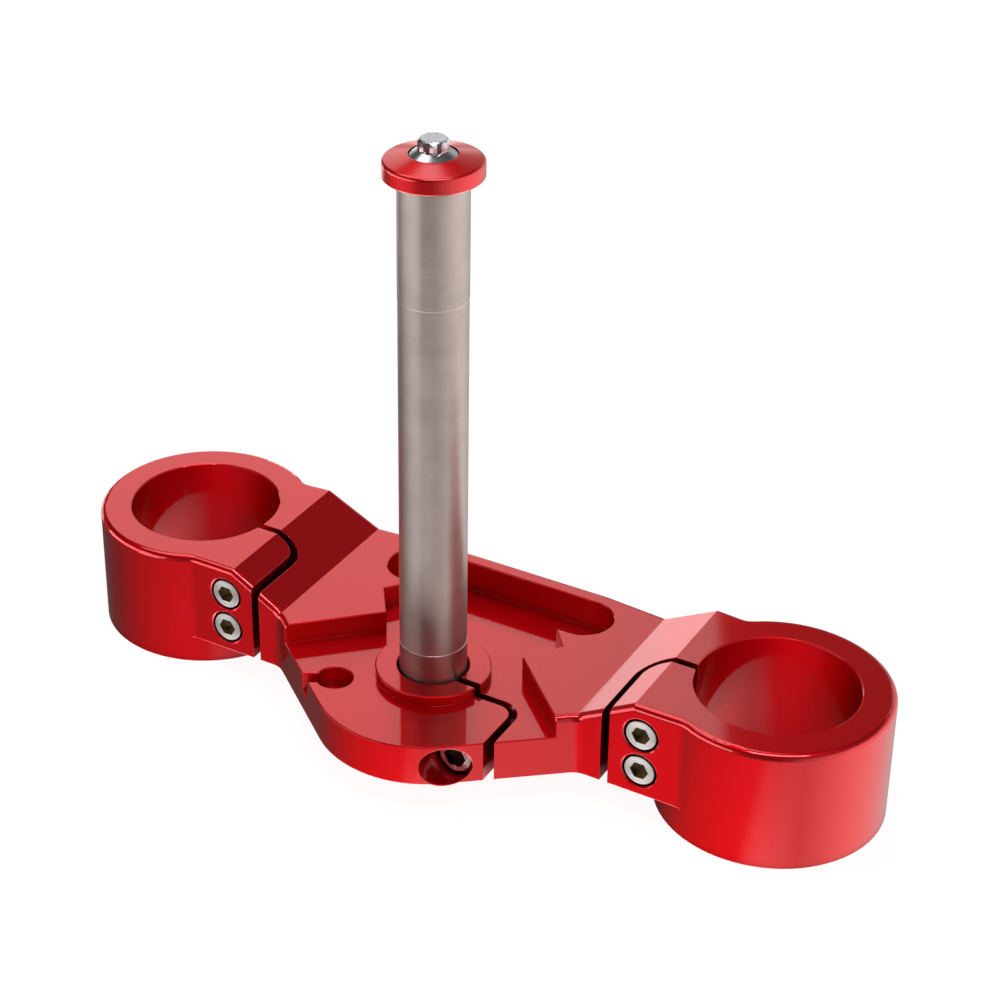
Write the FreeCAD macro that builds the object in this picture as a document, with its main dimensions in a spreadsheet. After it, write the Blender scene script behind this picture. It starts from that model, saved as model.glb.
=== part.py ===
import FreeCAD, Part
import Sketcher
import os
import re
from math import atan2, hypot

# Lower triple clamp of a motorcycle with its steering stem and cap, in millimetres.
# The origin lies on the steering axis, in the plane of the two ring bottoms.
# X runs from the left fork to the right one, Y to the rear and Z up along the stem.

Vec = FreeCAD.Vector
CLOSE = 0.001
doc = FreeCAD.newDocument("TripleClamp")

# Driving dimensions, kept in the document's sheet: name, value, meaning
SIZES = [
    ("fork_half", 125.0, "fork axis to steering axis, sideways"),
    ("fork_offset", 30.5, "fork axes behind the steering axis"),
    ("fork_bore", 60.0, "diameter of the fork bores"),
    ("ring_wall", 12.5, "wall of the rings round the fork bores"),
    ("plate_drop", 11.8, "ring bottoms below the underside of the plate"),
    ("web_thick", 16.5, "plate thickness under the recess"),
    ("recess_depth", 8.5, "depth of the recess round the stem"),
    ("ramp_rise", 12.5, "rise of the two ramps up to the rings"),
    ("ramp_side", 38.7, "top of each ramp beside its fork axis"),
    ("ramp_run", 22.1, "sideways run of each ramp"),
    ("ear_front", 7.3, "front face of the ears before the steering axis"),
    ("nose_radius", 42.0, "radius of the rounded nose"),
    ("nose_centre", 6.0, "centre of the nose before the steering axis"),
    ("flank_angle", 39.0, "flanks of the nose against the ears"),
    ("flank_blend", 8.0, "radius between flank and ear"),
    ("ring_blend", 6.0, "radius between ring and ear"),
    ("rear_face", 69.1, "rear face behind the steering axis"),
    ("rear_corner", 38.5, "half width of the straight rear face"),
    ("rear_sweep", 5.0, "sweep of the rear sides"),
    ("edge_round", 2.4, "round on the outer upper edges"),
    ("edge_break", 0.4, "small chamfer on machined edges"),
    ("waist_half", 29.8, "half width of the recess at its waist"),
    ("waist_rear", 15.1, "waist behind the steering axis"),
    ("wall_angle", 43.8, "front walls of the recess against the ears"),
    ("notch_half", 39.3, "half width of the recess at its notches"),
    ("notch_rear", 29.0, "notches behind the steering axis"),
    ("spur_half", 31.8, "half width between the spurs"),
    ("slot_width", 24.0, "width of the rear pocket"),
    ("slot_half", 36.8, "end centres of the rear pocket from the middle"),
    ("slot_wall", 6.7, "wall behind the rear pocket"),
    ("slot_depth", 12.6, "depth of the rear pocket below the plate top"),
    ("collar_diameter", 43.8, "bearing seat collar round the stem"),
    ("collar_height", 4.0, "collar above the recess floor"),
    ("stem_diameter", 25.4, "steering stem at its seats"),
    ("stem_fit", 0.04, "radial gap between stem and clamp"),
    ("bore_chamfer", 1.2, "lead-in at the top of the stem bore"),
    ("kerf_width", 3.2, "width of the clamping slits"),
    ("kerf_bend", 7.6, "bend of the slits on their middle line"),
    ("fork_kerf_front", 4.55, "sideways leg of the fork slits before the fork axes"),
    ("fork_kerf_gap", 19.2, "front leg of the fork slits beside the fork bore"),
    ("stem_kerf_front", 4.1, "sideways leg of the stem slit before the axis"),
    ("stem_kerf_side", 39.6, "front leg of the stem slit from the axis"),
    ("fork_screw_diameter", 7.94, "shank of the fork pinch screws"),
    ("fork_screw_head", 11.9, "head diameter of the fork pinch screws"),
    ("fork_head_height", 7.9, "head height of the fork pinch screws"),
    ("fork_head_chamfer", 0.3, "chamfer on those heads"),
    ("fork_socket_width", 6.35, "hexagon socket of those heads across its flats"),
    ("fork_socket_depth", 4.2, "depth of that socket"),
    ("stem_screw_diameter", 9.53, "shank of the stem pinch screw"),
    ("stem_screw_head", 14.3, "head diameter of the stem pinch screw"),
    ("stem_head_height", 9.5, "head height of the stem pinch screw"),
    ("stem_head_chamfer", 1.1, "chamfer on that head"),
    ("stem_socket_width", 7.94, "hexagon socket of that head across its flats"),
    ("stem_socket_depth", 5.0, "depth of that socket"),
    ("thread_gap", 0.04, "radial gap round the threads"),
    ("shank_gap", 0.3, "radial gap in the clearance holes"),
    ("tap_spare", 3.0, "hole beyond the screw tips"),
    ("fork_screw_gap", 5.3, "fork pinch screws beside the fork bore"),
    ("fork_screw_low", 21.8, "lower fork pinch screws above the ring bottoms"),
    ("fork_screw_pitch", 15.4, "distance of the two screws of one ear"),
    ("fork_screw_long", 38.0, "shank length of the fork pinch screws"),
    ("fork_sink", 13.6, "counterbore of the fork pinch screws"),
    ("sink_break", 0.5, "small chamfer on those counterbores"),
    ("fork_sink_spare", 0.2, "fork screw heads below the ear face"),
    ("stem_screw_side", 27.1, "stem pinch screw from the steering axis"),
    ("stem_screw_high", 19.2, "stem pinch screw above the ring bottoms"),
    ("stem_screw_face", 30.7, "head face of the stem pinch screw before the axis"),
    ("stem_screw_long", 32.0, "shank length of the stem pinch screw"),
    ("stem_sink", 16.0, "counterbore of the stem pinch screw"),
    ("stem_lip", 0.5, "thin wall under that counterbore, below the plate"),
    ("relief_side", 30.1, "keyhole relief left of the steering axis"),
    ("relief_front", 21.9, "keyhole relief before the steering axis"),
    ("relief_diameter", 13.8, "keyhole relief diameter"),
    ("relief_depth", 7.4, "keyhole relief below the recess floor"),
    ("relief_slot", 5.5, "width of the slot out of the relief"),
    ("relief_angle", 31.0, "direction of that slot"),
    ("stem_long", 219.7, "stem above the underside of the plate"),
    ("stem_bore", 16.0, "bore of the stem"),
    ("stem_plug", 40.0, "solid upper end of the stem"),
    ("stem_chamfer", 1.0, "chamfers at the stem's ends"),
    ("waist_low", 32.2, "lower end of the stem's waist above the plate's underside"),
    ("waist_high", 174.3, "upper end of the stem's waist above the plate's underside"),
    ("waist_relief", 0.12, "depth of the waist"),
    ("cap_diameter", 35.6, "cap on top of the stem"),
    ("cap_height", 8.1, "height of the cap round its seat"),
    ("cap_slope", 13.0, "fall of the cap's crown towards its side"),
    ("cap_round", 1.4, "round between the cap's side and crown"),
    ("cap_sink", 17.2, "diameter of the seat for the cap bolt"),
    ("cap_sink_depth", 1.8, "depth of that seat"),
    ("flange_diameter", 16.6, "flange of the cap bolt"),
    ("flange_rim", 1.5, "rim of the flange"),
    ("cone_run", 3.0, "cone between the flange's rim and the head, inwards"),
    ("cone_rise", 1.75, "rise of that cone"),
    ("head_points", 10.8, "twelve-point head across its points"),
    ("head_height", 4.15, "straight part of the twelve-point head"),
    ("head_bevel", 0.9, "bevel round the top of that head"),
    ("cap_bolt_diameter", 7.94, "shank of the cap bolt"),
    ("cap_bolt_long", 28.0, "shank length of the cap bolt"),
    ("cap_hole", 8.6, "hole in the cap for its bolt"),
]

sheet = doc.addObject("Spreadsheet::Sheet", "Sizes")
for line, (alias, amount, meaning) in enumerate(SIZES, start=1):
    sheet.set("A%d" % line, meaning)
    sheet.set("B%d" % line, str(amount))
    sheet.setAlias("B%d" % line, alias)
doc.recompute()

# Levels and lines that several features share, as formulas of the sizes
FLOOR = "(plate_drop + web_thick)"
PLATE_TOP = "(plate_drop + web_thick + recess_depth)"
RING_TOP = "(plate_drop + web_thick + recess_depth + ramp_rise)"
STEM_TOP = "(plate_drop + stem_long)"
NOSE_TIP = "(nose_centre + nose_radius)"
RAMP_TOP = "(fork_half - ramp_side)"
FORK_KERF_SIDE = "(fork_half - fork_bore / 2 - fork_kerf_gap)"
FORK_KERF_REAR = "(fork_offset - fork_kerf_front)"
FORK_SCREW_SIDE = "(fork_half - fork_bore / 2 - fork_screw_gap)"
FORK_SCREW_HIGH = "(fork_screw_low + fork_screw_pitch)"
FORK_SEAT = "(ear_front - fork_sink_spare - fork_head_height)"
STEM_SEAT = "(stem_screw_face - stem_head_height)"


def formula(text):
    """The expression with the name of each size looked up in the sheet."""
    return re.sub(r"[a-z]+_[a-z_]+", r"Sizes.\g<0>", text)


def value(text):
    """The number that a formula gives with the present sizes."""
    return float(sheet.evalExpression(formula(text)))


def bind(thing, path, text):
    """Ties a property of an object to a formula of the sizes."""
    thing.setExpression(path, formula(text))


def new_body(name):
    """A piece of its own, whose label is the name of its file."""
    body = doc.addObject("PartDesign::Body", name)
    body.Label = name
    return body


def new_sketch(body, name, plane="XY_Plane", lift="0"):
    """A sketch on one of the body's own planes, lifted along the plane's normal."""
    sketch = body.newObject("Sketcher::SketchObject", name)
    support = [item for item in body.Origin.OriginFeatures if item.Role == plane]
    sketch.AttachmentSupport = (support[0], "")
    sketch.MapMode = "FlatFace"
    bind(sketch, "AttachmentOffset.Base.z", lift)
    return sketch


def fix(sketch, way, item, spot, text):
    """Holds one coordinate of a point in a sketch at a formula."""
    if text == "0":
        axis = -2 if way == "DistanceX" else -1
        sketch.addConstraint(Sketcher.Constraint("PointOnObject", item, spot, axis))
        return
    index = sketch.addConstraint(Sketcher.Constraint(way, -1, 1, item, spot, value(text)))
    bind(sketch, "Constraints[%d]" % index, text)


def outline(sketch, points, bends=None):
    """A closed outline through points, each a pair of formulas.

    bends gives the centre of each leg that is an arc, by the number of the
    point where the leg starts. An arc takes the short way round its centre,
    and a half circle runs anticlockwise.
    """
    bends = bends or {}
    spots = [Vec(value(x), value(y), 0) for x, y in points]
    first = sketch.GeometryCount
    starts = []
    ends = []
    for leg, start in enumerate(spots):
        end = spots[(leg + 1) % len(spots)]
        starts.append(1)
        ends.append(2)
        if leg not in bends:
            sketch.addGeometry(Part.LineSegment(start, end))
            continue
        centre = Vec(value(bends[leg][0]), value(bends[leg][1]), 0)
        arm_in = start - centre
        arm_out = end - centre
        if arm_in.cross(arm_out).z < -CLOSE:
            arm_in, arm_out = arm_out, arm_in
            starts[leg] = 2
            ends[leg] = 1
        circle = Part.Circle(centre, Vec(0, 0, 1), arm_in.Length)
        sweep = [atan2(arm.y, arm.x) for arm in (arm_in, arm_out)]
        sketch.addGeometry(Part.ArcOfCircle(circle, *sweep))
    for leg in range(len(spots)):
        after = (leg + 1) % len(spots)
        sketch.addConstraint(
            Sketcher.Constraint("Coincident", first + leg, ends[leg], first + after, starts[after])
        )
    for leg, (x, y) in enumerate(points):
        fix(sketch, "DistanceX", first + leg, starts[leg], x)
        fix(sketch, "DistanceY", first + leg, starts[leg], y)
    for leg, (x, y) in bends.items():
        chord = spots[(leg + 1) % len(spots)] - spots[leg]
        if abs(chord.x) > abs(chord.y):
            fix(sketch, "DistanceY", first + leg, 3, y)
        else:
            fix(sketch, "DistanceX", first + leg, 3, x)


def circle(sketch, x, y, diameter):
    """A full circle round a point that is given by formulas."""
    centre = Vec(value(x), value(y), 0)
    item = sketch.addGeometry(Part.Circle(centre, Vec(0, 0, 1), value(diameter) / 2))
    index = sketch.addConstraint(Sketcher.Constraint("Diameter", item, value(diameter)))
    bind(sketch, "Constraints[%d]" % index, diameter)
    fix(sketch, "DistanceX", item, 3, x)
    fix(sketch, "DistanceY", item, 3, y)


def pad(body, sketch, name, length):
    """Material along the sketch's normal."""
    feature = body.newObject("PartDesign::Pad", name)
    feature.Profile = sketch
    bind(feature, "Length", length)
    return feature


def pocket(body, sketch, name, depth=None):
    """A cut against the sketch's normal, or right through on both sides."""
    feature = body.newObject("PartDesign::Pocket", name)
    feature.Profile = sketch
    if depth is None:
        feature.Type = "ThroughAll"
        feature.Midplane = True
    else:
        bind(feature, "Length", depth)
    return feature


def turned(body, sketch, name, kind="PartDesign::Revolution"):
    """A full turn of a half section round the sketch's upright axis."""
    feature = body.newObject(kind, name)
    feature.Profile = sketch
    feature.ReferenceAxis = (sketch, ["V_Axis"])
    feature.Angle = 360
    return feature


def mirrored(body, name, features):
    """The features once more on the other side of the plane between the forks."""
    feature = body.newObject("PartDesign::Mirrored", name)
    feature.Originals = features
    plane = [item for item in body.Origin.OriginFeatures if item.Role == "YZ_Plane"]
    feature.MirrorPlane = (plane[0], [""])
    body.Tip = feature
    return feature


def dress(body, kind, name, size, wanted):
    """A fillet or chamfer on each edge of the body that the test wants."""
    doc.recompute()
    base = body.Tip
    shape = base.Shape
    names = []
    for number, edge in enumerate(shape.Edges, start=1):
        faces = shape.ancestorsOfType(edge, Part.Face)
        if wanted(edge, faces):
            names.append("Edge%d" % number)
    feature = body.newObject(kind, name)
    feature.Base = (base, names)
    bind(feature, "Radius" if kind.endswith("Fillet") else "Size", size)
    return feature


def normal_at(face, edge):
    """The face's outward normal beside the middle of one of its edges."""
    spot = edge.valueAt((edge.FirstParameter + edge.LastParameter) / 2)
    return face.normalAt(*face.Surface.parameter(spot))


def upright(edge):
    """Whether an edge is straight and runs along Z."""
    ends = [vertex.Point for vertex in edge.Vertexes]
    return len(ends) == 2 and (ends[1] - ends[0]).cross(Vec(0, 0, 1)).Length < CLOSE


# Lower clamp, machined from one block
clamp = new_body("lower_clamp")

# Half of the nose's outline: an arc from the tip, then the flank up to the ear
NOSE_HALF = [
    ("0", "-" + NOSE_TIP),
    ("nose_radius * sin(flank_angle)", "-nose_centre - nose_radius * cos(flank_angle)"),
    (
        "(nose_radius + (nose_centre - ear_front) * cos(flank_angle)) / sin(flank_angle)",
        "-ear_front",
    ),
]

plate_sketch = new_sketch(clamp, "PlateOutline", lift="plate_drop")
outline(
    plate_sketch,
    NOSE_HALF
    + [
        ("fork_half", "-ear_front"),
        ("fork_half", "rear_face - (fork_half - rear_corner) * tan(rear_sweep)"),
        ("rear_corner", "rear_face"),
        ("0", "rear_face"),
    ],
    bends={0: ("0", "-nose_centre")},
)
plate = pad(clamp, plate_sketch, "Plate", "web_thick + recess_depth + ramp_rise")

# Round wall for the counterbore of the stem pinch screw, flush with the flank
lip_sketch = new_sketch(clamp, "LipOutline", plane="XZ_Plane", lift=STEM_SEAT)
circle(lip_sketch, "stem_screw_side", "stem_screw_high", "stem_sink + 2 * stem_lip")
pad(clamp, lip_sketch, "Lip", f"{NOSE_TIP} - {STEM_SEAT}")
lip_trim_sketch = new_sketch(clamp, "LipTrimOutline")
outline(
    lip_trim_sketch,
    NOSE_HALF
    + [
        ("fork_half", "-ear_front"),
        ("fork_half", f"-{NOSE_TIP} - edge_round"),
        ("0", f"-{NOSE_TIP} - edge_round"),
    ],
    bends={0: ("0", "-nose_centre")},
)
pocket(clamp, lip_trim_sketch, "LipTrim")

ring_sketch = new_sketch(clamp, "RingOutline")
circle(ring_sketch, "fork_half", "fork_offset", "fork_bore + 2 * ring_wall")
ring = pad(clamp, ring_sketch, "Ring", RING_TOP)
mirrored(clamp, "BothSides", [plate, ring])

# Inside corners of the outline
fork_axis = Vec(value("fork_half"), value("fork_offset"), 0)
ring_radius = value("fork_bore / 2 + ring_wall")
front = -value("ear_front")


def beside_ring(edge, faces):
    """Corners where the plate meets a ring."""
    spot = edge.CenterOfMass
    from_axis = Vec(abs(spot.x), spot.y, 0).distanceToPoint(fork_axis)
    return upright(edge) and abs(from_axis - ring_radius) < CLOSE


def under_ear(edge, faces):
    """Corners between the ears and the flanks of the nose."""
    return upright(edge) and abs(edge.CenterOfMass.y - front) < CLOSE


dress(clamp, "PartDesign::Fillet", "RingBlends", "ring_blend", beside_ring)
dress(clamp, "PartDesign::Fillet", "FlankBlends", "flank_blend", under_ear)

# The plate lies lower than the rings, with a ramp up to each of them
ramp_sketch = new_sketch(clamp, "RampSection", plane="XZ_Plane")
outline(
    ramp_sketch,
    [
        (f"ramp_run - {RAMP_TOP}", PLATE_TOP),
        (f"{RAMP_TOP} - ramp_run", PLATE_TOP),
        (RAMP_TOP, RING_TOP),
        (f"-{RAMP_TOP}", RING_TOP),
    ],
)
pocket(clamp, ramp_sketch, "Ramps")


def upper_rim(edge, faces):
    """Edges round the outside of the upper surfaces, without the creases of the ramps."""
    upward = [face for face in faces if normal_at(face, edge).z > CLOSE]
    return len(upward) == 1


def ring_foot(edge, faces):
    """Outer edges of the two ring bottoms."""
    return edge.BoundBox.ZMax < CLOSE


def drops(edge, flat, faces):
    """Whether the other face at an edge leaves a level face towards the material."""
    wall = [face for face in faces if not face.isSame(flat)]
    tilt = normal_at(flat, edge)
    if len(wall) != 1 or abs(normal_at(wall[0], edge).z) > CLOSE:
        return False
    spot = edge.valueAt((edge.FirstParameter + edge.LastParameter) / 2)
    return wall[0].isInside(spot - tilt * value("edge_break"), CLOSE, True)


dress(clamp, "PartDesign::Fillet", "UpperRound", "edge_round", upper_rim)
dress(clamp, "PartDesign::Chamfer", "FootBreak", "edge_break", ring_foot)

# Recess round the stem, open to the front, and the deeper pocket behind it
recess_sketch = new_sketch(clamp, "RecessOutline", lift=RING_TOP)
outline(
    recess_sketch,
    [
        ("0", "rear_face - slot_wall - slot_width"),
        ("0", f"-{NOSE_TIP} - edge_round"),
        (
            f"waist_half + (waist_rear + {NOSE_TIP} + edge_round) / tan(wall_angle)",
            f"-{NOSE_TIP} - edge_round",
        ),
        ("waist_half", "waist_rear"),
        ("notch_half", "notch_rear"),
        ("spur_half", "rear_face - slot_wall - slot_width"),
    ],
)
recess = pocket(clamp, recess_sketch, "Recess", "ramp_rise + recess_depth")

slot_sketch = new_sketch(clamp, "RearPocketOutline", lift=RING_TOP)
outline(
    slot_sketch,
    [
        ("0", "rear_face - slot_wall - slot_width"),
        ("slot_half", "rear_face - slot_wall - slot_width"),
        ("slot_half", "rear_face - slot_wall"),
        ("0", "rear_face - slot_wall"),
    ],
    bends={1: ("slot_half", "rear_face - slot_wall - slot_width / 2")},
)
slot = pocket(clamp, slot_sketch, "RearPocket", "ramp_rise + slot_depth")

bore_sketch = new_sketch(clamp, "ForkBoreOutline")
circle(bore_sketch, "fork_half", "fork_offset", "fork_bore")
fork_bore = pocket(clamp, bore_sketch, "ForkBore")
mirrored(clamp, "BothPockets", [recess, slot, fork_bore])

# Collar and bore for the stem
collar_sketch = new_sketch(clamp, "CollarOutline", lift=FLOOR)
circle(collar_sketch, "0", "0", "collar_diameter")
pad(clamp, collar_sketch, "Collar", "collar_height")

stem_bore_sketch = new_sketch(clamp, "StemBoreOutline")
circle(stem_bore_sketch, "0", "0", "stem_diameter + 2 * stem_fit")
pocket(clamp, stem_bore_sketch, "StemBore")


def lead_in(edge, faces):
    """Upper rim of the stem bore."""
    spot = edge.CenterOfMass
    return edge.Closed and hypot(spot.x, spot.y) < CLOSE and in_bore(edge) and spot.z > value(FLOOR)


def in_bore(edge):
    """Whether a round edge has the radius of the stem bore."""
    return abs(edge.Curve.Radius - value("stem_diameter / 2 + stem_fit")) < CLOSE


dress(clamp, "PartDesign::Chamfer", "LeadIn", "bore_chamfer", lead_in)

# Keyhole relief on the left, with its slot running out through the flank
relief_sketch = new_sketch(clamp, "ReliefOutline", lift=FLOOR)
circle(relief_sketch, "-relief_side", "-relief_front", "relief_diameter")
pocket(clamp, relief_sketch, "Relief", "relief_depth")

ALONG_X = "2 * relief_diameter * cos(relief_angle)"
ALONG_Y = "2 * relief_diameter * sin(relief_angle)"
ACROSS_X = "relief_slot / 2 * sin(relief_angle)"
ACROSS_Y = "relief_slot / 2 * cos(relief_angle)"
relief_slot_sketch = new_sketch(clamp, "ReliefSlotOutline", lift=FLOOR)
outline(
    relief_slot_sketch,
    [
        (f"-relief_side - {ACROSS_X}", f"-relief_front + {ACROSS_Y}"),
        (f"-relief_side - {ACROSS_X} - {ALONG_X}", f"-relief_front + {ACROSS_Y} - {ALONG_Y}"),
        (f"-relief_side + {ACROSS_X} - {ALONG_X}", f"-relief_front - {ACROSS_Y} - {ALONG_Y}"),
        (f"-relief_side + {ACROSS_X}", f"-relief_front - {ACROSS_Y}"),
    ],
)
pocket(clamp, relief_slot_sketch, "ReliefSlot", "relief_depth")


def pocket_rim(edge, faces):
    """Upper rims of the bores, pockets, collar and relief, and the floor's outer edge."""
    upward = [face for face in faces if normal_at(face, edge).z > 1 - CLOSE]
    level = edge.BoundBox.ZLength < CLOSE
    return level and len(upward) == 1 and drops(edge, upward[0], faces)


def bore_mouth(edge, faces):
    """Lower rims of the fork bores and of the stem bore."""
    downward = [face for face in faces if normal_at(face, edge).z < CLOSE - 1]
    return edge.Closed and len(downward) == 1 and drops(edge, downward[0], faces)


def small_rim(edge, faces):
    """All rims that are broken by the small chamfer."""
    return pocket_rim(edge, faces) or bore_mouth(edge, faces)


dress(clamp, "PartDesign::Chamfer", "RimBreak", "edge_break", small_rim)

# Fork slits, each leaving its bore sideways and bending out to the front
fork_slit_sketch = new_sketch(clamp, "ForkSlitOutline")
outline(
    fork_slit_sketch,
    [
        (f"{FORK_KERF_SIDE} - kerf_width / 2", "-ear_front - kerf_width"),
        (f"{FORK_KERF_SIDE} + kerf_width / 2", "-ear_front - kerf_width"),
        (f"{FORK_KERF_SIDE} + kerf_width / 2", f"{FORK_KERF_REAR} - kerf_bend"),
        (f"{FORK_KERF_SIDE} + kerf_bend", f"{FORK_KERF_REAR} - kerf_width / 2"),
        ("fork_half", f"{FORK_KERF_REAR} - kerf_width / 2"),
        ("fork_half", f"{FORK_KERF_REAR} + kerf_width / 2"),
        (f"{FORK_KERF_SIDE} + kerf_bend", f"{FORK_KERF_REAR} + kerf_width / 2"),
        (f"{FORK_KERF_SIDE} - kerf_width / 2", f"{FORK_KERF_REAR} - kerf_bend"),
    ],
    bends={
        2: (f"{FORK_KERF_SIDE} + kerf_bend", f"{FORK_KERF_REAR} - kerf_bend"),
        6: (f"{FORK_KERF_SIDE} + kerf_bend", f"{FORK_KERF_REAR} - kerf_bend"),
    },
)
fork_slit = pocket(clamp, fork_slit_sketch, "ForkSlit")


def screw_holes(name, spots, face, seat, middle, tip, size):
    """Counterbores, clearance holes up to the slit and threaded holes beyond it, along Y."""
    steps = [
        ("Sink", size + "_sink", f"{face} - {seat}"),
        ("Clearance", size + "_screw_diameter + 2 * shank_gap", f"{face} + {middle}"),
        ("Thread", size + "_screw_diameter + 2 * thread_gap", f"{face} + {tip} + tap_spare"),
    ]
    cuts = []
    for step, diameter, depth in steps:
        sketch = new_sketch(clamp, name + step + "Outline", plane="XZ_Plane", lift=face)
        for side, height in spots:
            circle(sketch, side, height, diameter)
        cuts.append(pocket(clamp, sketch, name + step, depth))
    return cuts


fork_holes = screw_holes(
    "ForkScrew",
    [(FORK_SCREW_SIDE, "fork_screw_low"), (FORK_SCREW_SIDE, FORK_SCREW_HIGH)],
    "ear_front",
    FORK_SEAT,
    FORK_KERF_REAR,
    f"fork_screw_long - {FORK_SEAT}",
    "fork",
)
mirrored(clamp, "BothEars", [fork_slit] + fork_holes)

screw_holes(
    "StemScrew",
    [("stem_screw_side", "stem_screw_high")],
    NOSE_TIP,
    STEM_SEAT,
    "(-stem_kerf_front)",
    f"stem_screw_long - {STEM_SEAT}",
    "stem",
)

# Stem slit, through the collar and out through the right flank
stem_slit_sketch = new_sketch(clamp, "StemSlitOutline")
outline(
    stem_slit_sketch,
    [
        ("0", "-stem_kerf_front - kerf_width / 2"),
        ("stem_kerf_side - kerf_bend", "-stem_kerf_front - kerf_width / 2"),
        ("stem_kerf_side - kerf_width / 2", "-stem_kerf_front - kerf_bend"),
        ("stem_kerf_side - kerf_width / 2", "-" + NOSE_TIP),
        ("stem_kerf_side + kerf_width / 2", "-" + NOSE_TIP),
        ("stem_kerf_side + kerf_width / 2", "-stem_kerf_front - kerf_bend"),
        ("stem_kerf_side - kerf_bend", "-stem_kerf_front + kerf_width / 2"),
        ("0", "-stem_kerf_front + kerf_width / 2"),
    ],
    bends={
        1: ("stem_kerf_side - kerf_bend", "-stem_kerf_front - kerf_bend"),
        5: ("stem_kerf_side - kerf_bend", "-stem_kerf_front - kerf_bend"),
    },
)
pocket(clamp, stem_slit_sketch, "StemSlit")


def sink_rim(edge, faces):
    """Rims of the counterbores in the ears' front faces."""
    flat = edge.BoundBox.YLength < CLOSE and abs(edge.CenterOfMass.y - front) < CLOSE
    return flat and edge.Closed


dress(clamp, "PartDesign::Chamfer", "SinkBreak", "sink_break", sink_rim)

# Steering stem, a tube with a solid upper end and a slightly waisted middle
stem = new_body("steering_stem")
stem_sketch = new_sketch(stem, "StemSection", plane="XZ_Plane")
outline(
    stem_sketch,
    [
        ("stem_bore / 2", "plate_drop"),
        ("stem_diameter / 2 - stem_chamfer", "plate_drop"),
        ("stem_diameter / 2", "plate_drop + stem_chamfer"),
        ("stem_diameter / 2", "plate_drop + waist_low"),
        ("stem_diameter / 2 - waist_relief", "plate_drop + waist_low + waist_relief"),
        ("stem_diameter / 2 - waist_relief", "plate_drop + waist_high - waist_relief"),
        ("stem_diameter / 2", "plate_drop + waist_high"),
        ("stem_diameter / 2", f"{STEM_TOP} - stem_chamfer"),
        ("stem_diameter / 2 - stem_chamfer", STEM_TOP),
        ("cap_bolt_diameter / 2 + thread_gap", STEM_TOP),
        ("cap_bolt_diameter / 2 + thread_gap", f"{STEM_TOP} - stem_plug"),
        ("stem_bore / 2", f"{STEM_TOP} - stem_plug"),
    ],
)
turned(stem, stem_sketch, "StemTube")

# Cap on top of the stem, crowned, with a round seat for its bolt
CAP_TOP = f"({STEM_TOP} + cap_height)"
CAP_SEAT = f"({CAP_TOP} - cap_sink_depth)"
ROUND_X = "(cap_diameter / 2 - cap_round)"
ROUND_FALL = f"(({ROUND_X} - cap_sink / 2) * tan(cap_slope) + cap_round / cos(cap_slope))"
ROUND_Z = f"({CAP_TOP} - {ROUND_FALL})"
cap = new_body("stem_cap")
cap_sketch = new_sketch(cap, "CapSection", plane="XZ_Plane")
outline(
    cap_sketch,
    [
        ("cap_hole / 2", STEM_TOP),
        ("cap_diameter / 2 - edge_break", STEM_TOP),
        ("cap_diameter / 2", f"{STEM_TOP} + edge_break"),
        ("cap_diameter / 2", ROUND_Z),
        (f"{ROUND_X} + cap_round * sin(cap_slope)", f"{ROUND_Z} + cap_round * cos(cap_slope)"),
        ("cap_sink / 2", CAP_TOP),
        ("cap_sink / 2", CAP_SEAT),
        ("cap_hole / 2", CAP_SEAT),
    ],
    bends={3: (ROUND_X, ROUND_Z)},
)
turned(cap, cap_sketch, "CapDisc")

# Bolt through the cap: shank, flange with a cone, and a twelve-point head
bolt = new_body("cap_bolt")
bolt_sketch = new_sketch(bolt, "BoltSection", plane="XZ_Plane")
outline(
    bolt_sketch,
    [
        ("0", "-cap_bolt_long"),
        ("cap_bolt_diameter / 2", "-cap_bolt_long"),
        ("cap_bolt_diameter / 2", "0"),
        ("flange_diameter / 2", "0"),
        ("flange_diameter / 2", "flange_rim"),
        ("flange_diameter / 2 - cone_run", "flange_rim + cone_rise"),
        ("0", "flange_rim + cone_rise"),
    ],
)
turned(bolt, bolt_sketch, "BoltBlank")


def hexagon(sketch, across_corners, turn):
    """A regular hexagon round the sketch's origin, turned by a number of degrees."""
    corners = []
    for number in range(6):
        angle = turn + 60 * number
        corners.append(
            (f"{across_corners} / 2 * cos({angle})", f"{across_corners} / 2 * sin({angle})")
        )
    outline(sketch, corners)


for half, turn in (("One", 0), ("Two", 30)):
    points_sketch = new_sketch(bolt, "Points" + half, lift="flange_rim")
    hexagon(points_sketch, "head_points", turn)
    pad(bolt, points_sketch, "SixPoints" + half, "cone_rise + head_height")

bevel_sketch = new_sketch(bolt, "BevelSection", plane="XZ_Plane")
HEAD_TOP = "(flange_rim + cone_rise + head_height)"
outline(
    bevel_sketch,
    [
        ("head_points / 2 - head_bevel", HEAD_TOP),
        ("head_points / 2 + head_bevel", f"{HEAD_TOP} - 2 * head_bevel"),
        ("head_points / 2 + head_bevel", HEAD_TOP),
    ],
)
turned(bolt, bevel_sketch, "HeadBevel", kind="PartDesign::Groove")
bind(bolt, "Placement.Base.z", CAP_SEAT)


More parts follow.
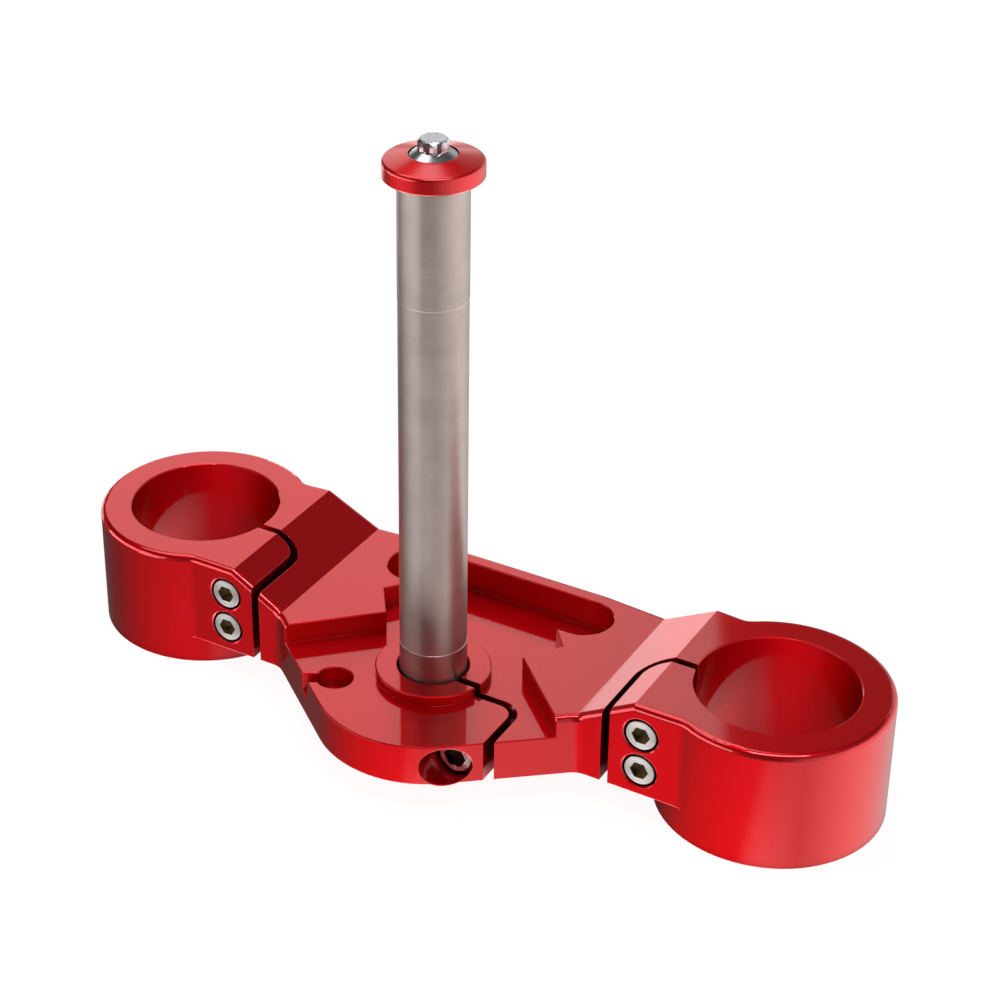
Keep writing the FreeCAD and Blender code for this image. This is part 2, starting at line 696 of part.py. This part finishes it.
def pinch_screw(name, size, side, seat, height):
    """A socket head cap screw along Y, its head to the front and its seat at the origin."""
    length = size + "_screw_long"
    shank = size + "_screw_diameter / 2"
    head = size + "_screw_head / 2"
    top = size + "_head_height"
    chamfer = size + "_head_chamfer"
    screw = new_body(name)
    blank_sketch = new_sketch(screw, "ScrewSection", plane="XZ_Plane")
    outline(
        blank_sketch,
        [
            ("0", f"-{length}"),
            (shank, f"-{length}"),
            (shank, "0"),
            (head, "0"),
            (head, f"{top} - {chamfer}"),
            (f"{head} - {chamfer}", top),
            ("0", top),
        ],
    )
    turned(screw, blank_sketch, "ScrewBlank")
    socket_sketch = new_sketch(screw, "SocketOutline", lift=top)
    hexagon(socket_sketch, size + "_socket_width / cos(30)", 0)
    pocket(screw, socket_sketch, "Socket", size + "_socket_depth")
    screw.Placement = FreeCAD.Placement(Vec(), FreeCAD.Rotation(Vec(1, 0, 0), 90))
    bind(screw, "Placement.Base.x", side)
    bind(screw, "Placement.Base.y", f"-{seat}")
    bind(screw, "Placement.Base.z", height)


for hand, sign in (("left", "-"), ("right", "")):
    for level, height in (("lower", "fork_screw_low"), ("upper", FORK_SCREW_HIGH)):
        pinch_screw(
            f"fork_pinch_bolt_{hand}_{level}",
            "fork",
            sign + FORK_SCREW_SIDE,
            FORK_SEAT,
            height,
        )
pinch_screw("stem_pinch_bolt", "stem", "stem_screw_side", STEM_SEAT, "stem_screw_high")

doc.recompute()

# Every feature stands and every cut removes material
for item in doc.Objects:
    if "Invalid" in item.State or "Error" in item.State:
        raise RuntimeError(f"{item.Name} did not build")
    if item.TypeId in ("PartDesign::Pocket", "PartDesign::Groove"):
        if item.Shape.Volume > item.BaseFeature.Shape.Volume - CLOSE:
            raise RuntimeError(f"{item.Name} cuts nothing")

pieces = [item for item in doc.Objects if item.TypeId == "PartDesign::Body"]
for piece in pieces:
    if piece.Shape.isNull() or not piece.Shape.isValid() or len(piece.Shape.Solids) != 1:
        raise RuntimeError(f"{piece.Label} is not one sound solid")

os.makedirs("parts", exist_ok=True)
for piece in pieces:
    piece.Shape.exportStep(f"parts/{piece.Label}.step")
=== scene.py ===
import math

import bpy
from mathutils import Matrix, Vector

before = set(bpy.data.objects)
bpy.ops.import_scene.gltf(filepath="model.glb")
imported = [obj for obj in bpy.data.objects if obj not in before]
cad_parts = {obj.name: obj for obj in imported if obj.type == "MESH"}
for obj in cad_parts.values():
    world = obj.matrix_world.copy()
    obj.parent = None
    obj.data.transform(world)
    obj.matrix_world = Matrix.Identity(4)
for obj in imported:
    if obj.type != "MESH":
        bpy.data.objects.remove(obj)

bl_info = {
    "name": "Triple clamp finishes",
    "version": (1, 0, 0),
    "blender": (4, 5, 0),
    "location": "View3D > Sidebar > Triple clamp",
    "description": "Finishes the parts of a lower triple clamp and sets up its studio",
    "category": "Material",
}

MM = 0.001
# Nearly all values of a noise lie between these
NOISE_RANGE = (0.3, 0.7)


def linear(colour):
    """A colour written as sRGB hex, such as "#C0101C", as linear RGBA."""
    channels = [int(colour[i : i + 2], 16) / 255 for i in (1, 3, 5)]
    channels = [c / 12.92 if c <= 0.04045 else ((c + 0.055) / 1.055) ** 2.4 for c in channels]
    return (*channels, 1.0)


WHITE = linear("#FFFFFF")


def toned(colour, factor):
    """A linear colour, darker or lighter by a factor."""
    return (*(min(1.0, channel * factor) for channel in colour[:3]), 1.0)


def about(middle, spread):
    """The range that reaches as far below a value as above it."""
    return (middle - spread, middle + spread)


def per_mm(size):
    """Texture scale, in metres, at which one feature of a pattern is that many millimetres."""
    return 1 / (size * MM)


def add(tree, kind, inputs=None, **settings):
    """One node of a kind, with its own settings.

    inputs gives each input its value, or the output of another node that feeds it.
    """
    node = tree.nodes.new(kind)
    for name, setting in settings.items():
        setattr(node, name, setting)
    for name, source in (inputs or {}).items():
        target = node.inputs[name]
        if isinstance(source, bpy.types.NodeSocket):
            tree.links.new(source, target)
        else:
            target.default_value = source
    return node


def remap(tree, value, start, end=(0.0, 1.0)):
    """A value of the range start, carried over to the range end and kept inside it."""
    inputs = {
        "Value": value, "From Min": start[0], "From Max": start[1],
        "To Min": end[0], "To Max": end[1],
    }
    return add(tree, "ShaderNodeMapRange", inputs).outputs["Result"]


def compute(tree, operation, *values):
    """The result of one operation on numbers and outputs."""
    node = add(tree, "ShaderNodeMath", dict(enumerate(values)), operation=operation)
    return node.outputs["Value"]


def length(tree, vector):
    """The length of a vector."""
    node = add(tree, "ShaderNodeVectorMath", {0: vector}, operation="LENGTH")
    return node.outputs["Value"]


def noise(tree, vector, scale, detail, roughness=0.5):
    """A noise from 0 to 1."""
    inputs = {"Vector": vector, "Scale": scale, "Detail": detail, "Roughness": roughness}
    return add(tree, "ShaderNodeTexNoise", inputs).outputs["Fac"]


def mix_colours(tree, factor, first, second):
    """The first colour at factor 0 and the second at factor 1."""
    inputs = {"Factor": factor, "A": first, "B": second}
    return add(tree, "ShaderNodeMix", inputs, data_type="RGBA").outputs["Result"]


def mix_shaders(tree, factor, first, second):
    """The first shader at factor 0 and the second at factor 1."""
    return add(tree, "ShaderNodeMixShader", {0: factor, 1: first, 2: second}).outputs["Shader"]


def bumped(tree, height, strength, depth, **inputs):
    """The normal of a surface with a height of that depth, in mm."""
    inputs = {"Height": height, "Strength": strength, "Distance": depth * MM, **inputs}
    return add(tree, "ShaderNodeBump", inputs).outputs["Normal"]


def new_material(name):
    """An empty material and its node tree."""
    material = bpy.data.materials.new(name)
    material.use_nodes = True
    material.node_tree.nodes.clear()
    return material, material.node_tree


def add_metal(tree, colour, roughness, normal, **inputs):
    """The metal that a material is made of, linked to the material's output.

    inputs has its other settings, with _ for the spaces in their names.
    """
    named = {name.replace("_", " "): source for name, source in inputs.items()}
    metal = add(
        tree, "ShaderNodeBsdfPrincipled",
        {"Base Color": colour, "Metallic": 1.0, "Roughness": roughness, "Normal": normal, **named},
    )
    add(tree, "ShaderNodeOutputMaterial", {"Surface": metal.outputs["BSDF"]})


def give(names, material):
    """Puts one material on whole pieces of the frame."""
    for name in names:
        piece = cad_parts[name]
        piece.data.materials.clear()
        piece.data.materials.append(material)


class AnodisedFinish(bpy.types.PropertyGroup):
    """Red anodised clamp and cap."""

    dye: bpy.props.StringProperty(
        name="Dye", description="Colour of the anodised metal, sRGB hex", default="#E20A1A"
    )
    satin: bpy.props.FloatProperty(
        name="Satin", description="Roughness of the metal under the oxide",
        default=0.42, min=0.0, max=1.0, subtype="FACTOR",
    )
    grain: bpy.props.FloatProperty(
        name="Grain", description="Grain of the etched metal, in millimetres",
        default=0.6, min=0.05,
    )


class SteelFinish(bpy.types.PropertyGroup):
    """Steering stem, pinch screws and cap bolt."""

    stem: bpy.props.StringProperty(
        name="Stem", description="Colour of the ground stem, sRGB hex", default="#B8A9A3"
    )
    screws: bpy.props.StringProperty(
        name="Screws", description="Colour of the screws in the ears, sRGB hex",
        default="#C0BBB8",
    )
    # Painted shade: the sockets are coloured darker and browner than the faces
    socket: bpy.props.StringProperty(
        name="Sockets", description="Colour inside the sockets of those screws, sRGB hex",
        default="#B0A088",
    )
    bolt: bpy.props.StringProperty(
        name="Cap bolt", description="Colour of the cap bolt, sRGB hex", default="#CFCED0"
    )
    turning: bpy.props.FloatProperty(
        name="Turning", description="Spacing of the turning marks, in millimetres",
        default=0.45, min=0.05,
    )


class StudioSettings(bpy.types.PropertyGroup):
    """Floor and softboxes."""

    floor: bpy.props.StringProperty(
        name="Floor", description="Colour of the floor, sRGB hex", default="#F2F2F2"
    )
    softbox: bpy.props.FloatProperty(
        name="Softboxes", description="Radiance that each softbox has a share of",
        default=3.0, min=0.0,
    )
    distance: bpy.props.FloatProperty(
        name="Softbox distance", description="Distance of the softboxes from the part",
        default=1.6, min=0.5, unit="LENGTH",
    )


# Roughness of the sealed surface over milled and over turned metal
MILLED_SHEEN = 0.06
TURNED_SHEEN = 0.18


class TRIPLE_OT_finish_clamp(bpy.types.Operator):
    """Finish the lower clamp and the stem cap in red anodised aluminium"""

    bl_idname = "triple.finish_clamp"
    bl_label = "Finish clamp and cap"

    def execute(self, context):
        finish = context.scene.triple_anodised
        give(["lower_clamp"], anodised_aluminium(finish, "milled", MILLED_SHEEN))
        give(["stem_cap"], anodised_aluminium(finish, "turned", TURNED_SHEEN))
        return {"FINISHED"}


# Size in mm of the slow change of the dye, and how much of each channel its deep tone keeps
CLOUD_SIZE = 22
DEEP_TONE = (0.97, 0.9, 0.9, 1.0)
# Roughness that the grain adds or takes
SATIN_SPREAD = 0.03
# Tint of the metal's reflections at low angles
LOW_ANGLE_TINT = "#E0202C"
# Painted shade in gaps: a gap is felt up to this many mm from its walls. The painted shade
# scales the colour and the coat from the least to the full as the open share of the surroundings
# goes from the first value to the second.
GAP_REACH = 8
GAP_OPEN = (0.2, 0.46)
GAP_SHADE = (0.03, 1.0)
# Radius in mm that the light sees on the sharp edges
EDGE_RADIUS = 0.25


def anodised_aluminium(finish, tooling, sheen):
    """Anodised aluminium: milled or turned, bright dipped, dyed red and sealed.

    The dyed oxide over the etched metal gives a deep red with soft reflections. The
    sealed surface adds a white sheen, weak from above and strong at low angles. It is
    sharp on milled faces and wider on turned ones. Painted shade darkens the colour and
    thins the coat in tight gaps, which are the slits and those round the screw heads, so
    that they look black.
    """
    material, tree = new_material(tooling + "_red_anodised_aluminium")
    place = add(tree, "ShaderNodeTexCoord").outputs["Object"]
    grain = noise(tree, place, per_mm(finish.grain), detail=2.0, roughness=0.6)
    cloud = noise(tree, place, per_mm(CLOUD_SIZE), detail=2.0)
    satin = remap(tree, grain, NOISE_RANGE, about(finish.satin, SATIN_SPREAD))
    red = linear(finish.dye)
    deep = tuple(channel * kept for channel, kept in zip(red, DEEP_TONE))
    dye = mix_colours(tree, cloud, deep, red)
    # Painted shade: ambient occlusion darkens the colour and thins the coat in tight gaps
    gap = add(tree, "ShaderNodeAmbientOcclusion", {"Distance": GAP_REACH * MM}, samples=4)
    gap_shade = remap(tree, gap.outputs["AO"], GAP_OPEN, GAP_SHADE)
    colour = add(tree, "ShaderNodeVectorMath", {0: dye, "Scale": gap_shade}, operation="SCALE")
    rounded = add(tree, "ShaderNodeBevel", {"Radius": EDGE_RADIUS * MM}, samples=4)
    smooth = rounded.outputs["Normal"]
    add_metal(
        tree, colour.outputs["Vector"], satin,
        bumped(tree, grain, strength=0.05, depth=0.05, Normal=smooth),
        Specular_Tint=linear(LOW_ANGLE_TINT), Coat_Weight=gap_shade, Coat_IOR=1.6,
        Coat_Roughness=sheen, Coat_Normal=smooth,
    )
    return material


class TRIPLE_OT_finish_stem(bpy.types.Operator):
    """Finish the steering stem in turned and ground steel"""

    bl_idname = "triple.finish_stem"
    bl_label = "Finish stem"

    def execute(self, context):
        finish = context.scene.triple_steel
        give(["steering_stem"], turned_steel(finish))
        return {"FINISHED"}


# Height in mm of the inner edges of the lower and the upper bearing seat, and half the
# width of the pale painted highlight on each, and its colour
SEAT_EDGES = (44.0, 186.1)
LINE_HALF = 0.15
SEAT_HIGHLIGHT = "#DCD4D0"
# Size in mm across the stem of the turning marks and of the mottling, and of the
# mottling along it. Marks that are much longer than the stem is wide run right round it.
MARKS_ACROSS = 1000 / 12
MOTTLING_ACROSS = 1000 / 70
MOTTLING_ALONG = 13
# Darkest and lightest tone of the mottling, as factors
MOTTLING_DARK = 0.74
MOTTLING_LIGHT = 1.24
STEM_ROUGHNESS = (0.34, 0.46)
# Roughness that grinding takes from the lower seat
SEAT_GRINDING = -0.07


def turned_steel(finish):
    """Stainless steel tube, turned and polished round its axis with a fine belt.

    Fine rings round the stem spread each reflection along it, so that it shows soft
    upright bands of warm grey with no sharp picture of its surroundings. A thin pale band
    is painted at the edge of each of the two bearing seats as a painted highlight where
    the edge catches the light. The lower seat, pressed into the clamp, is ground smoother.
    """

    def stretched(across, along):
        """Coordinates in which features of a noise have those sizes, in mm."""
        scale = (per_mm(across), per_mm(across), per_mm(along))
        return add(tree, "ShaderNodeMapping", {"Vector": place, "Scale": scale}).outputs["Vector"]

    material, tree = new_material("turned_stainless_steel")
    place = add(tree, "ShaderNodeTexCoord").outputs["Object"]
    height = add(tree, "ShaderNodeSeparateXYZ", {"Vector": place}).outputs["Z"]
    marks = noise(tree, stretched(MARKS_ACROSS, finish.turning), scale=1.0, detail=3.0)
    mottling = noise(
        tree, stretched(MOTTLING_ACROSS, MOTTLING_ALONG), scale=1.0, detail=5.0, roughness=0.65
    )
    steel = linear(finish.stem)
    worked = mix_colours(
        tree, mottling, toned(steel, MOTTLING_DARK), toned(steel, MOTTLING_LIGHT)
    )
    # Painted highlight: a pale band at each seat edge stands in for the light that the edge
    # catches
    lines = [compute(tree, "COMPARE", height, edge * MM, LINE_HALF * MM) for edge in SEAT_EDGES]
    colour = mix_colours(tree, compute(tree, "MAXIMUM", *lines), worked, linear(SEAT_HIGHLIGHT))
    seat = compute(tree, "LESS_THAN", height, SEAT_EDGES[0] * MM)
    turned = remap(tree, marks, NOISE_RANGE, STEM_ROUGHNESS)
    roughness = compute(tree, "MULTIPLY_ADD", seat, SEAT_GRINDING, turned)
    round_axis = add(tree, "ShaderNodeTangent", direction_type="RADIAL", axis="Z")
    add_metal(
        tree, colour, roughness, bumped(tree, marks, strength=0.25, depth=0.03),
        Anisotropic=0.45, Anisotropic_Rotation=0.25, Tangent=round_axis.outputs["Tangent"],
    )
    return material


# Head diameter in mm and roughness of the screws in the ears and of the one in the nose,
# and the colours of the nose's, which stands in the shade of its bore: its face is painted lighter
# as painted light, and its socket darker as painted shade
EAR_HEAD = 11.9
EAR_ROUGHNESS = 0.42
NOSE_HEAD = 14.3
NOSE_ROUGHNESS = 0.3
NOSE_LIT_FACE = "#E8E6E4"
NOSE_SOCKET_SHADE = "#7E7670"


class TRIPLE_OT_finish_screws(bpy.types.Operator):
    """Finish the five pinch screws in stainless steel with turned head faces"""

    bl_idname = "triple.finish_screws"
    bl_label = "Finish pinch screws"

    def execute(self, context):
        finish = context.scene.triple_steel
        ear_screws = [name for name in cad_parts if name.startswith("fork_pinch_bolt")]
        if len(ear_screws) != 4:
            raise RuntimeError("the frame doesn't hold four fork pinch screws")
        ear_steel = screw_steel(
            "ear_screw_steel", finish.screws, finish.socket, EAR_HEAD, EAR_ROUGHNESS
        )
        # The nose screw's lighter face is painted light and its darker socket is painted shade
        nose_steel = screw_steel(
            "nose_screw_steel", NOSE_LIT_FACE, NOSE_SOCKET_SHADE, NOSE_HEAD, NOSE_ROUGHNESS
        )
        give(ear_screws, ear_steel)
        give(["stem_pinch_bolt"], nose_steel)
        return {"FINISHED"}


# Spacing in mm of the rings on a head's face
RING_SPACING = 0.8
# The socket lies within this radius, as a share of the head's diameter, and below the
# face by more than this share of the screw's length
SOCKET_RADIUS = 0.328
SOCKET_START = 0.002
# Roughness that a socket has less than the face, and that specks of this size in mm change
SOCKET_SMOOTH = -0.22
SPECK_SIZE = 0.7
SPECK_SPREAD = 0.05


def screw_steel(name, face, inside, head, roughness):
    """Stainless steel cap screw, cold headed, with the face of its head turned.

    The turning leaves fine rings round the socket that catch the light as thin arcs. The
    socket is painted a darker, browner colour than the face, as painted shade. head is
    the diameter in mm.
    """
    material, tree = new_material(name)
    place = add(tree, "ShaderNodeTexCoord")
    within = place.outputs["Generated"]
    centred = add(
        tree, "ShaderNodeMapping",
        {"Vector": within, "Location": (-0.5, 0.0, -0.5), "Scale": (1.0, 0.0, 1.0)},
    )
    radius = length(tree, centred.outputs["Vector"])
    turns = compute(tree, "MULTIPLY", radius, head / RING_SPACING * 2 * math.pi)
    rings = compute(tree, "SINE", turns)
    depth = add(tree, "ShaderNodeSeparateXYZ", {"Vector": within}).outputs["Y"]
    socket = compute(
        tree, "MULTIPLY",
        compute(tree, "LESS_THAN", radius, SOCKET_RADIUS),
        compute(tree, "GREATER_THAN", depth, SOCKET_START),
    )
    # Painted shade: the socket mask gives the socket its darker colour
    colour = mix_colours(tree, socket, linear(face), linear(inside))
    specks = noise(tree, place.outputs["Object"], per_mm(SPECK_SIZE), detail=2.0)
    worked = remap(tree, specks, NOISE_RANGE, about(roughness, SPECK_SPREAD))
    smooth = compute(tree, "MULTIPLY_ADD", socket, SOCKET_SMOOTH, worked)
    add_metal(tree, colour, smooth, bumped(tree, rings, strength=1.0, depth=0.025))
    return material


class TRIPLE_OT_finish_cap_bolt(bpy.types.Operator):
    """Finish the twelve-point cap bolt in bright stainless steel"""

    bl_idname = "triple.finish_cap_bolt"
    bl_label = "Finish cap bolt"

    def execute(self, context):
        finish = context.scene.triple_steel
        give(["cap_bolt"], forged_steel(finish))
        return {"FINISHED"}


# Shares of the bolt's length at which the points begin and at which the top does
POINTS_START = (0.875, 0.885)
TOP_START = (0.985, 0.995)
# Roughness of the flange with its cone, of the points and of the top
FLANGE_ROUGHNESS = 0.24
POINTS_ROUGHNESS = 0.12
TOP_ROUGHNESS = 0.42
# Scale covers the lowest values of the specks, fading out between these, and hides up
# to this share of the steel
SCALE_COLOUR = "#3A3634"
SCALE_RANGE = (0.36, 0.42)
SCALE_COVER = (0.85, 0.0)


def forged_steel(finish):
    """Stainless steel flange bolt, forged, its flange and points polished.

    The cone and the points are bright, and the forged top of the head stays matt, with
    dark specks of scale.
    """
    material, tree = new_material("forged_stainless_steel")
    place = add(tree, "ShaderNodeTexCoord")
    flat = add(tree, "ShaderNodeNewGeometry").outputs["Normal"]
    specks = noise(
        tree, place.outputs["Object"], per_mm(SPECK_SIZE), detail=3.0, roughness=0.7
    )
    height = add(tree, "ShaderNodeSeparateXYZ", {"Vector": place.outputs["Generated"]})
    top = remap(tree, height.outputs["Z"], TOP_START)
    polished = remap(
        tree, height.outputs["Z"], POINTS_START, (FLANGE_ROUGHNESS, POINTS_ROUGHNESS)
    )
    roughness = remap(tree, top, (0.0, 1.0), (polished, TOP_ROUGHNESS))
    scale = compute(tree, "MULTIPLY", remap(tree, specks, SCALE_RANGE, SCALE_COVER), top)
    colour = mix_colours(tree, scale, linear(finish.bolt), linear(SCALE_COLOUR))
    uneven = bumped(tree, specks, strength=0.18, depth=0.12)
    normal = add(
        tree, "ShaderNodeMix", {"Factor": top, "A": flat, "B": uneven}, data_type="VECTOR"
    )
    add_metal(tree, colour, roughness, normal.outputs["Result"])
    return material


class TRIPLE_OT_set_studio(bpy.types.Operator):
    """Set the floor, the surroundings, the softboxes and the camera"""

    bl_idname = "triple.set_studio"
    bl_label = "Set studio"

    def execute(self, context):
        settings = context.scene.triple_studio
        context.scene.view_settings.view_transform = "Standard"
        add_floor(settings)
        set_surroundings(context.scene)
        add_softboxes(settings)
        add_camera(context.scene)
        return {"FINISHED"}


# Half the floor's side in metres, and its level in mm, just under the part
FLOOR_HALF = 4.0
FLOOR_LEVEL = -0.05
# What the camera sees: the light that the floor gives off by itself, near the part and
# away from it, the distances in metres between which it changes, and the grey that adds
# the shadow
FLOOR_GLOW = (0.93, 1.0)
GLOW_DISTANCE = (0.3, 0.9)
SHADOW_GREY = "#696969"
# What reflections see: clear where the floor is open, and painted shade where the part is close
# above it within this many mm, between these open shares of the surroundings
COVER_REACH = 80
COVER_OPEN = (0.06, 0.3)


def add_floor(settings):
    """A pale table that keeps the part's shadow, and pales to white away from the part.

    Reflections see through it to the white room, but for where the part covers it
    closely: there painted shade keeps it dark, standing in for the shade under the plate.
    """
    level = FLOOR_LEVEL * MM
    corners = [
        (x * FLOOR_HALF, y * FLOOR_HALF, level) for x, y in ((-1, -1), (1, -1), (1, 1), (-1, 1))
    ]
    mesh = bpy.data.meshes.new("floor")
    mesh.from_pydata(corners, [], [(0, 1, 2, 3)])
    floor = bpy.data.objects.new("floor", mesh)
    bpy.context.scene.collection.objects.link(floor)
    mesh.materials.append(white_laminate(settings))


def white_laminate(settings):
    """White laminate on a table top: a plain pale ground with a soft contact shadow."""
    material, tree = new_material("white_laminate")
    path = add(tree, "ShaderNodeLightPath")
    board = add(tree, "ShaderNodeBsdfDiffuse", {"Color": linear(settings.floor)})
    shadow = add(tree, "ShaderNodeBsdfDiffuse", {"Color": linear(SHADOW_GREY)})
    away = length(tree, add(tree, "ShaderNodeTexCoord").outputs["Object"])
    glow = add(
        tree, "ShaderNodeEmission",
        {"Color": WHITE, "Strength": remap(tree, away, GLOW_DISTANCE, FLOOR_GLOW)},
    )
    seen = add(
        tree, "ShaderNodeAddShader", {0: shadow.outputs["BSDF"], 1: glow.outputs["Emission"]}
    )
    ground = mix_shaders(
        tree, path.outputs["Is Camera Ray"], board.outputs["BSDF"], seen.outputs["Shader"]
    )
    # Painted shade: ambient occlusion darkens what reflections see of the floor close under the
    # part
    cover_shade = add(tree, "ShaderNodeAmbientOcclusion", {"Distance": COVER_REACH * MM}, samples=4)
    clear = add(
        tree, "ShaderNodeBsdfTransparent",
        {"Color": remap(tree, cover_shade.outputs["AO"], COVER_OPEN)},
    )
    surface = mix_shaders(tree, path.outputs["Is Glossy Ray"], ground, clear.outputs["BSDF"])
    add(tree, "ShaderNodeOutputMaterial", {"Surface": surface})
    return material


def heading(azimuth, elevation=0):
    """A direction in degrees: azimuth from the front to the right, elevation upwards."""
    turn = math.radians(azimuth)
    rise = math.radians(elevation)
    return Vector(
        (math.sin(turn) * math.cos(rise), -math.cos(turn) * math.cos(rise), math.sin(rise))
    )


# Directions are compared by their dot product, so 1 is straight at the azimuth that is
# named and 0 is square to it. Heights are sines of the elevation, radiances those that
# the part sees.
WALL_AZIMUTH = 120
WALL_REACH = (0.0, 0.95)
WALL_RADIANCE = (0.1, 1.35)
# The walls fade towards the ceiling by these shares
CEILING_HEIGHT = (0.3, 0.65)
CEILING_SHARE = (1.0, 0.1)
# The table fills everything below its edge, which is higher on the right
TABLE_EDGE = (-0.64, -0.82)
TABLE_TILT = -0.14
TABLE_TILT_AZIMUTH = 80
# Its bright side
TABLE_AZIMUTH = -80
TABLE_REACH = (-0.55, 0.1)
TABLE_RADIANCE = (0.3, 5.2)


def set_surroundings(scene):
    """A white room over a white table.

    The walls are bright behind on the right and dim in front on the left, the ceiling is
    dim, and the table is brightest on the left and reaches higher on the right.
    """

    def towards(azimuth):
        """How far a direction points to an azimuth."""
        inputs = {0: direction, 1: heading(azimuth)}
        node = add(tree, "ShaderNodeVectorMath", inputs, operation="DOT_PRODUCT")
        return node.outputs["Value"]

    world = bpy.data.worlds.new("white_room")
    world.use_nodes = True
    scene.world = world
    tree = world.node_tree
    tree.nodes.clear()
    path = add(tree, "ShaderNodeLightPath")
    direction = add(tree, "ShaderNodeTexCoord").outputs["Generated"]
    height = add(tree, "ShaderNodeSeparateXYZ", {"Vector": direction}).outputs["Z"]
    walls = remap(tree, towards(WALL_AZIMUTH), WALL_REACH, WALL_RADIANCE)
    ceiling = remap(tree, height, CEILING_HEIGHT, CEILING_SHARE)
    room = compute(tree, "MULTIPLY", walls, ceiling)
    right = compute(tree, "MAXIMUM", towards(TABLE_TILT_AZIMUTH), 0.0)
    tilted = compute(tree, "MULTIPLY_ADD", right, TABLE_TILT, height)
    low = remap(tree, tilted, TABLE_EDGE)
    table = remap(tree, towards(TABLE_AZIMUTH), TABLE_REACH, TABLE_RADIANCE)
    light = compute(tree, "MULTIPLY_ADD", low, table, room)
    # The camera sees plain white behind the part
    strength = add(
        tree, "ShaderNodeMix", {"Factor": path.outputs["Is Camera Ray"], "A": light, "B": 1.0}
    )
    background = add(
        tree, "ShaderNodeBackground", {"Color": WHITE, "Strength": strength.outputs["Result"]}
    )
    add(tree, "ShaderNodeOutputWorld", {"Surface": background.outputs["Background"]})


# Name, azimuth and elevation in degrees, width and height in metres, share of the radiance
SOFTBOXES = (
    ("softbox_overhead", 250, 68, 1.5, 0.7, 0.7),
    ("softbox_back", 217, 28, 0.9, 0.8, 0.36),
    ("softbox_back_low", 232, -5, 1.7, 0.75, 0.55),
    ("softbox_front", -47, 0, 2.4, 0.8, 0.9),
    ("softbox_rim", 42, 70, 1.0, 0.22, 4.0),
)
# The point on the stem's axis that all of them face
SOFTBOX_AIM = Vector((0, 0, 0.05))


def add_softboxes(settings):
    """Softboxes overhead, behind on the left in two heights and before on the left.

    A narrow strip high on the right lights the rounded rims.
    """
    for name, azimuth, elevation, width, height, share in SOFTBOXES:
        lamp = bpy.data.lights.new(name, "AREA")
        lamp.shape = "RECTANGLE"
        lamp.size = width
        lamp.size_y = height
        # A lamp's energy is its radiance times pi and its area
        lamp.energy = settings.softbox * share * math.pi * width * height
        box = bpy.data.objects.new(name, lamp)
        bpy.context.scene.collection.objects.link(box)
        away = heading(azimuth, elevation)
        box.location = SOFTBOX_AIM + away * settings.distance
        box.rotation_euler = away.to_track_quat("Z", "Y").to_euler()


# The camera's place in metres, the direction from the part back to it in degrees, and
# how far it is rolled
CAMERA_PLACE = (0.384089, -0.65333, 0.561137)
CAMERA_AZIMUTH = 32.428
CAMERA_ELEVATION = 29.224
CAMERA_ROLL = -0.948
# Sensor in mm, focal length as a multiple of it, and the picture's shift in sensor widths
SENSOR = 36.0
LENS = 2.4444
SHIFT = (0.140259, -0.079342)
# Nothing nearer than this, in metres, is shown
CAMERA_NEAR = 0.01


def add_camera(scene):
    """The camera that took the photograph, found from the part's own circles and edges."""
    back = heading(CAMERA_AZIMUTH, CAMERA_ELEVATION)
    roll = math.radians(CAMERA_ROLL)
    level = (-back).cross(Vector((0, 0, 1))).normalized()
    upward = level.cross(-back)
    right = math.cos(roll) * level + math.sin(roll) * upward
    up = -math.sin(roll) * level + math.cos(roll) * upward
    data = bpy.data.cameras.new("camera")
    data.sensor_width = SENSOR
    data.lens = SENSOR * LENS
    data.shift_x, data.shift_y = SHIFT
    data.clip_start = CAMERA_NEAR
    camera = bpy.data.objects.new("camera", data)
    scene.collection.objects.link(camera)
    axes = Matrix((right, up, back)).transposed().to_4x4()
    camera.matrix_world = Matrix.Translation(CAMERA_PLACE) @ axes
    scene.camera = camera


class TRIPLE_PT_sidebar(bpy.types.Panel):
    """Lists the finishes and the studio"""

    bl_label = "Triple clamp"
    bl_idname = "TRIPLE_PT_sidebar"
    bl_space_type = "VIEW_3D"
    bl_region_type = "UI"
    bl_category = "Triple clamp"

    def draw(self, context):
        layout = self.layout
        scene = context.scene
        for group in (scene.triple_anodised, scene.triple_steel, scene.triple_studio):
            column = layout.column()
            for name in group.__annotations__:
                column.prop(group, name)
        for operator in OPERATORS:
            layout.operator(operator.bl_idname)


OPERATORS = (
    TRIPLE_OT_finish_clamp,
    TRIPLE_OT_finish_stem,
    TRIPLE_OT_finish_screws,
    TRIPLE_OT_finish_cap_bolt,
    TRIPLE_OT_set_studio,
)
CLASSES = (AnodisedFinish, SteelFinish, StudioSettings, *OPERATORS, TRIPLE_PT_sidebar)


def register():
    for item in CLASSES:
        bpy.utils.register_class(item)
    bpy.types.Scene.triple_anodised = bpy.props.PointerProperty(type=AnodisedFinish)
    bpy.types.Scene.triple_steel = bpy.props.PointerProperty(type=SteelFinish)
    bpy.types.Scene.triple_studio = bpy.props.PointerProperty(type=StudioSettings)


def unregister():
    del bpy.types.Scene.triple_studio
    del bpy.types.Scene.triple_steel
    del bpy.types.Scene.triple_anodised
    for item in reversed(CLASSES):
        bpy.utils.unregister_class(item)


def main():
    """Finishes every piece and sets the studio."""
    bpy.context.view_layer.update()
    register()
    bpy.ops.triple.finish_clamp()
    bpy.ops.triple.finish_stem()
    bpy.ops.triple.finish_screws()
    bpy.ops.triple.finish_cap_bolt()
    bpy.ops.triple.set_studio()


if __name__ == "__main__":
    main()
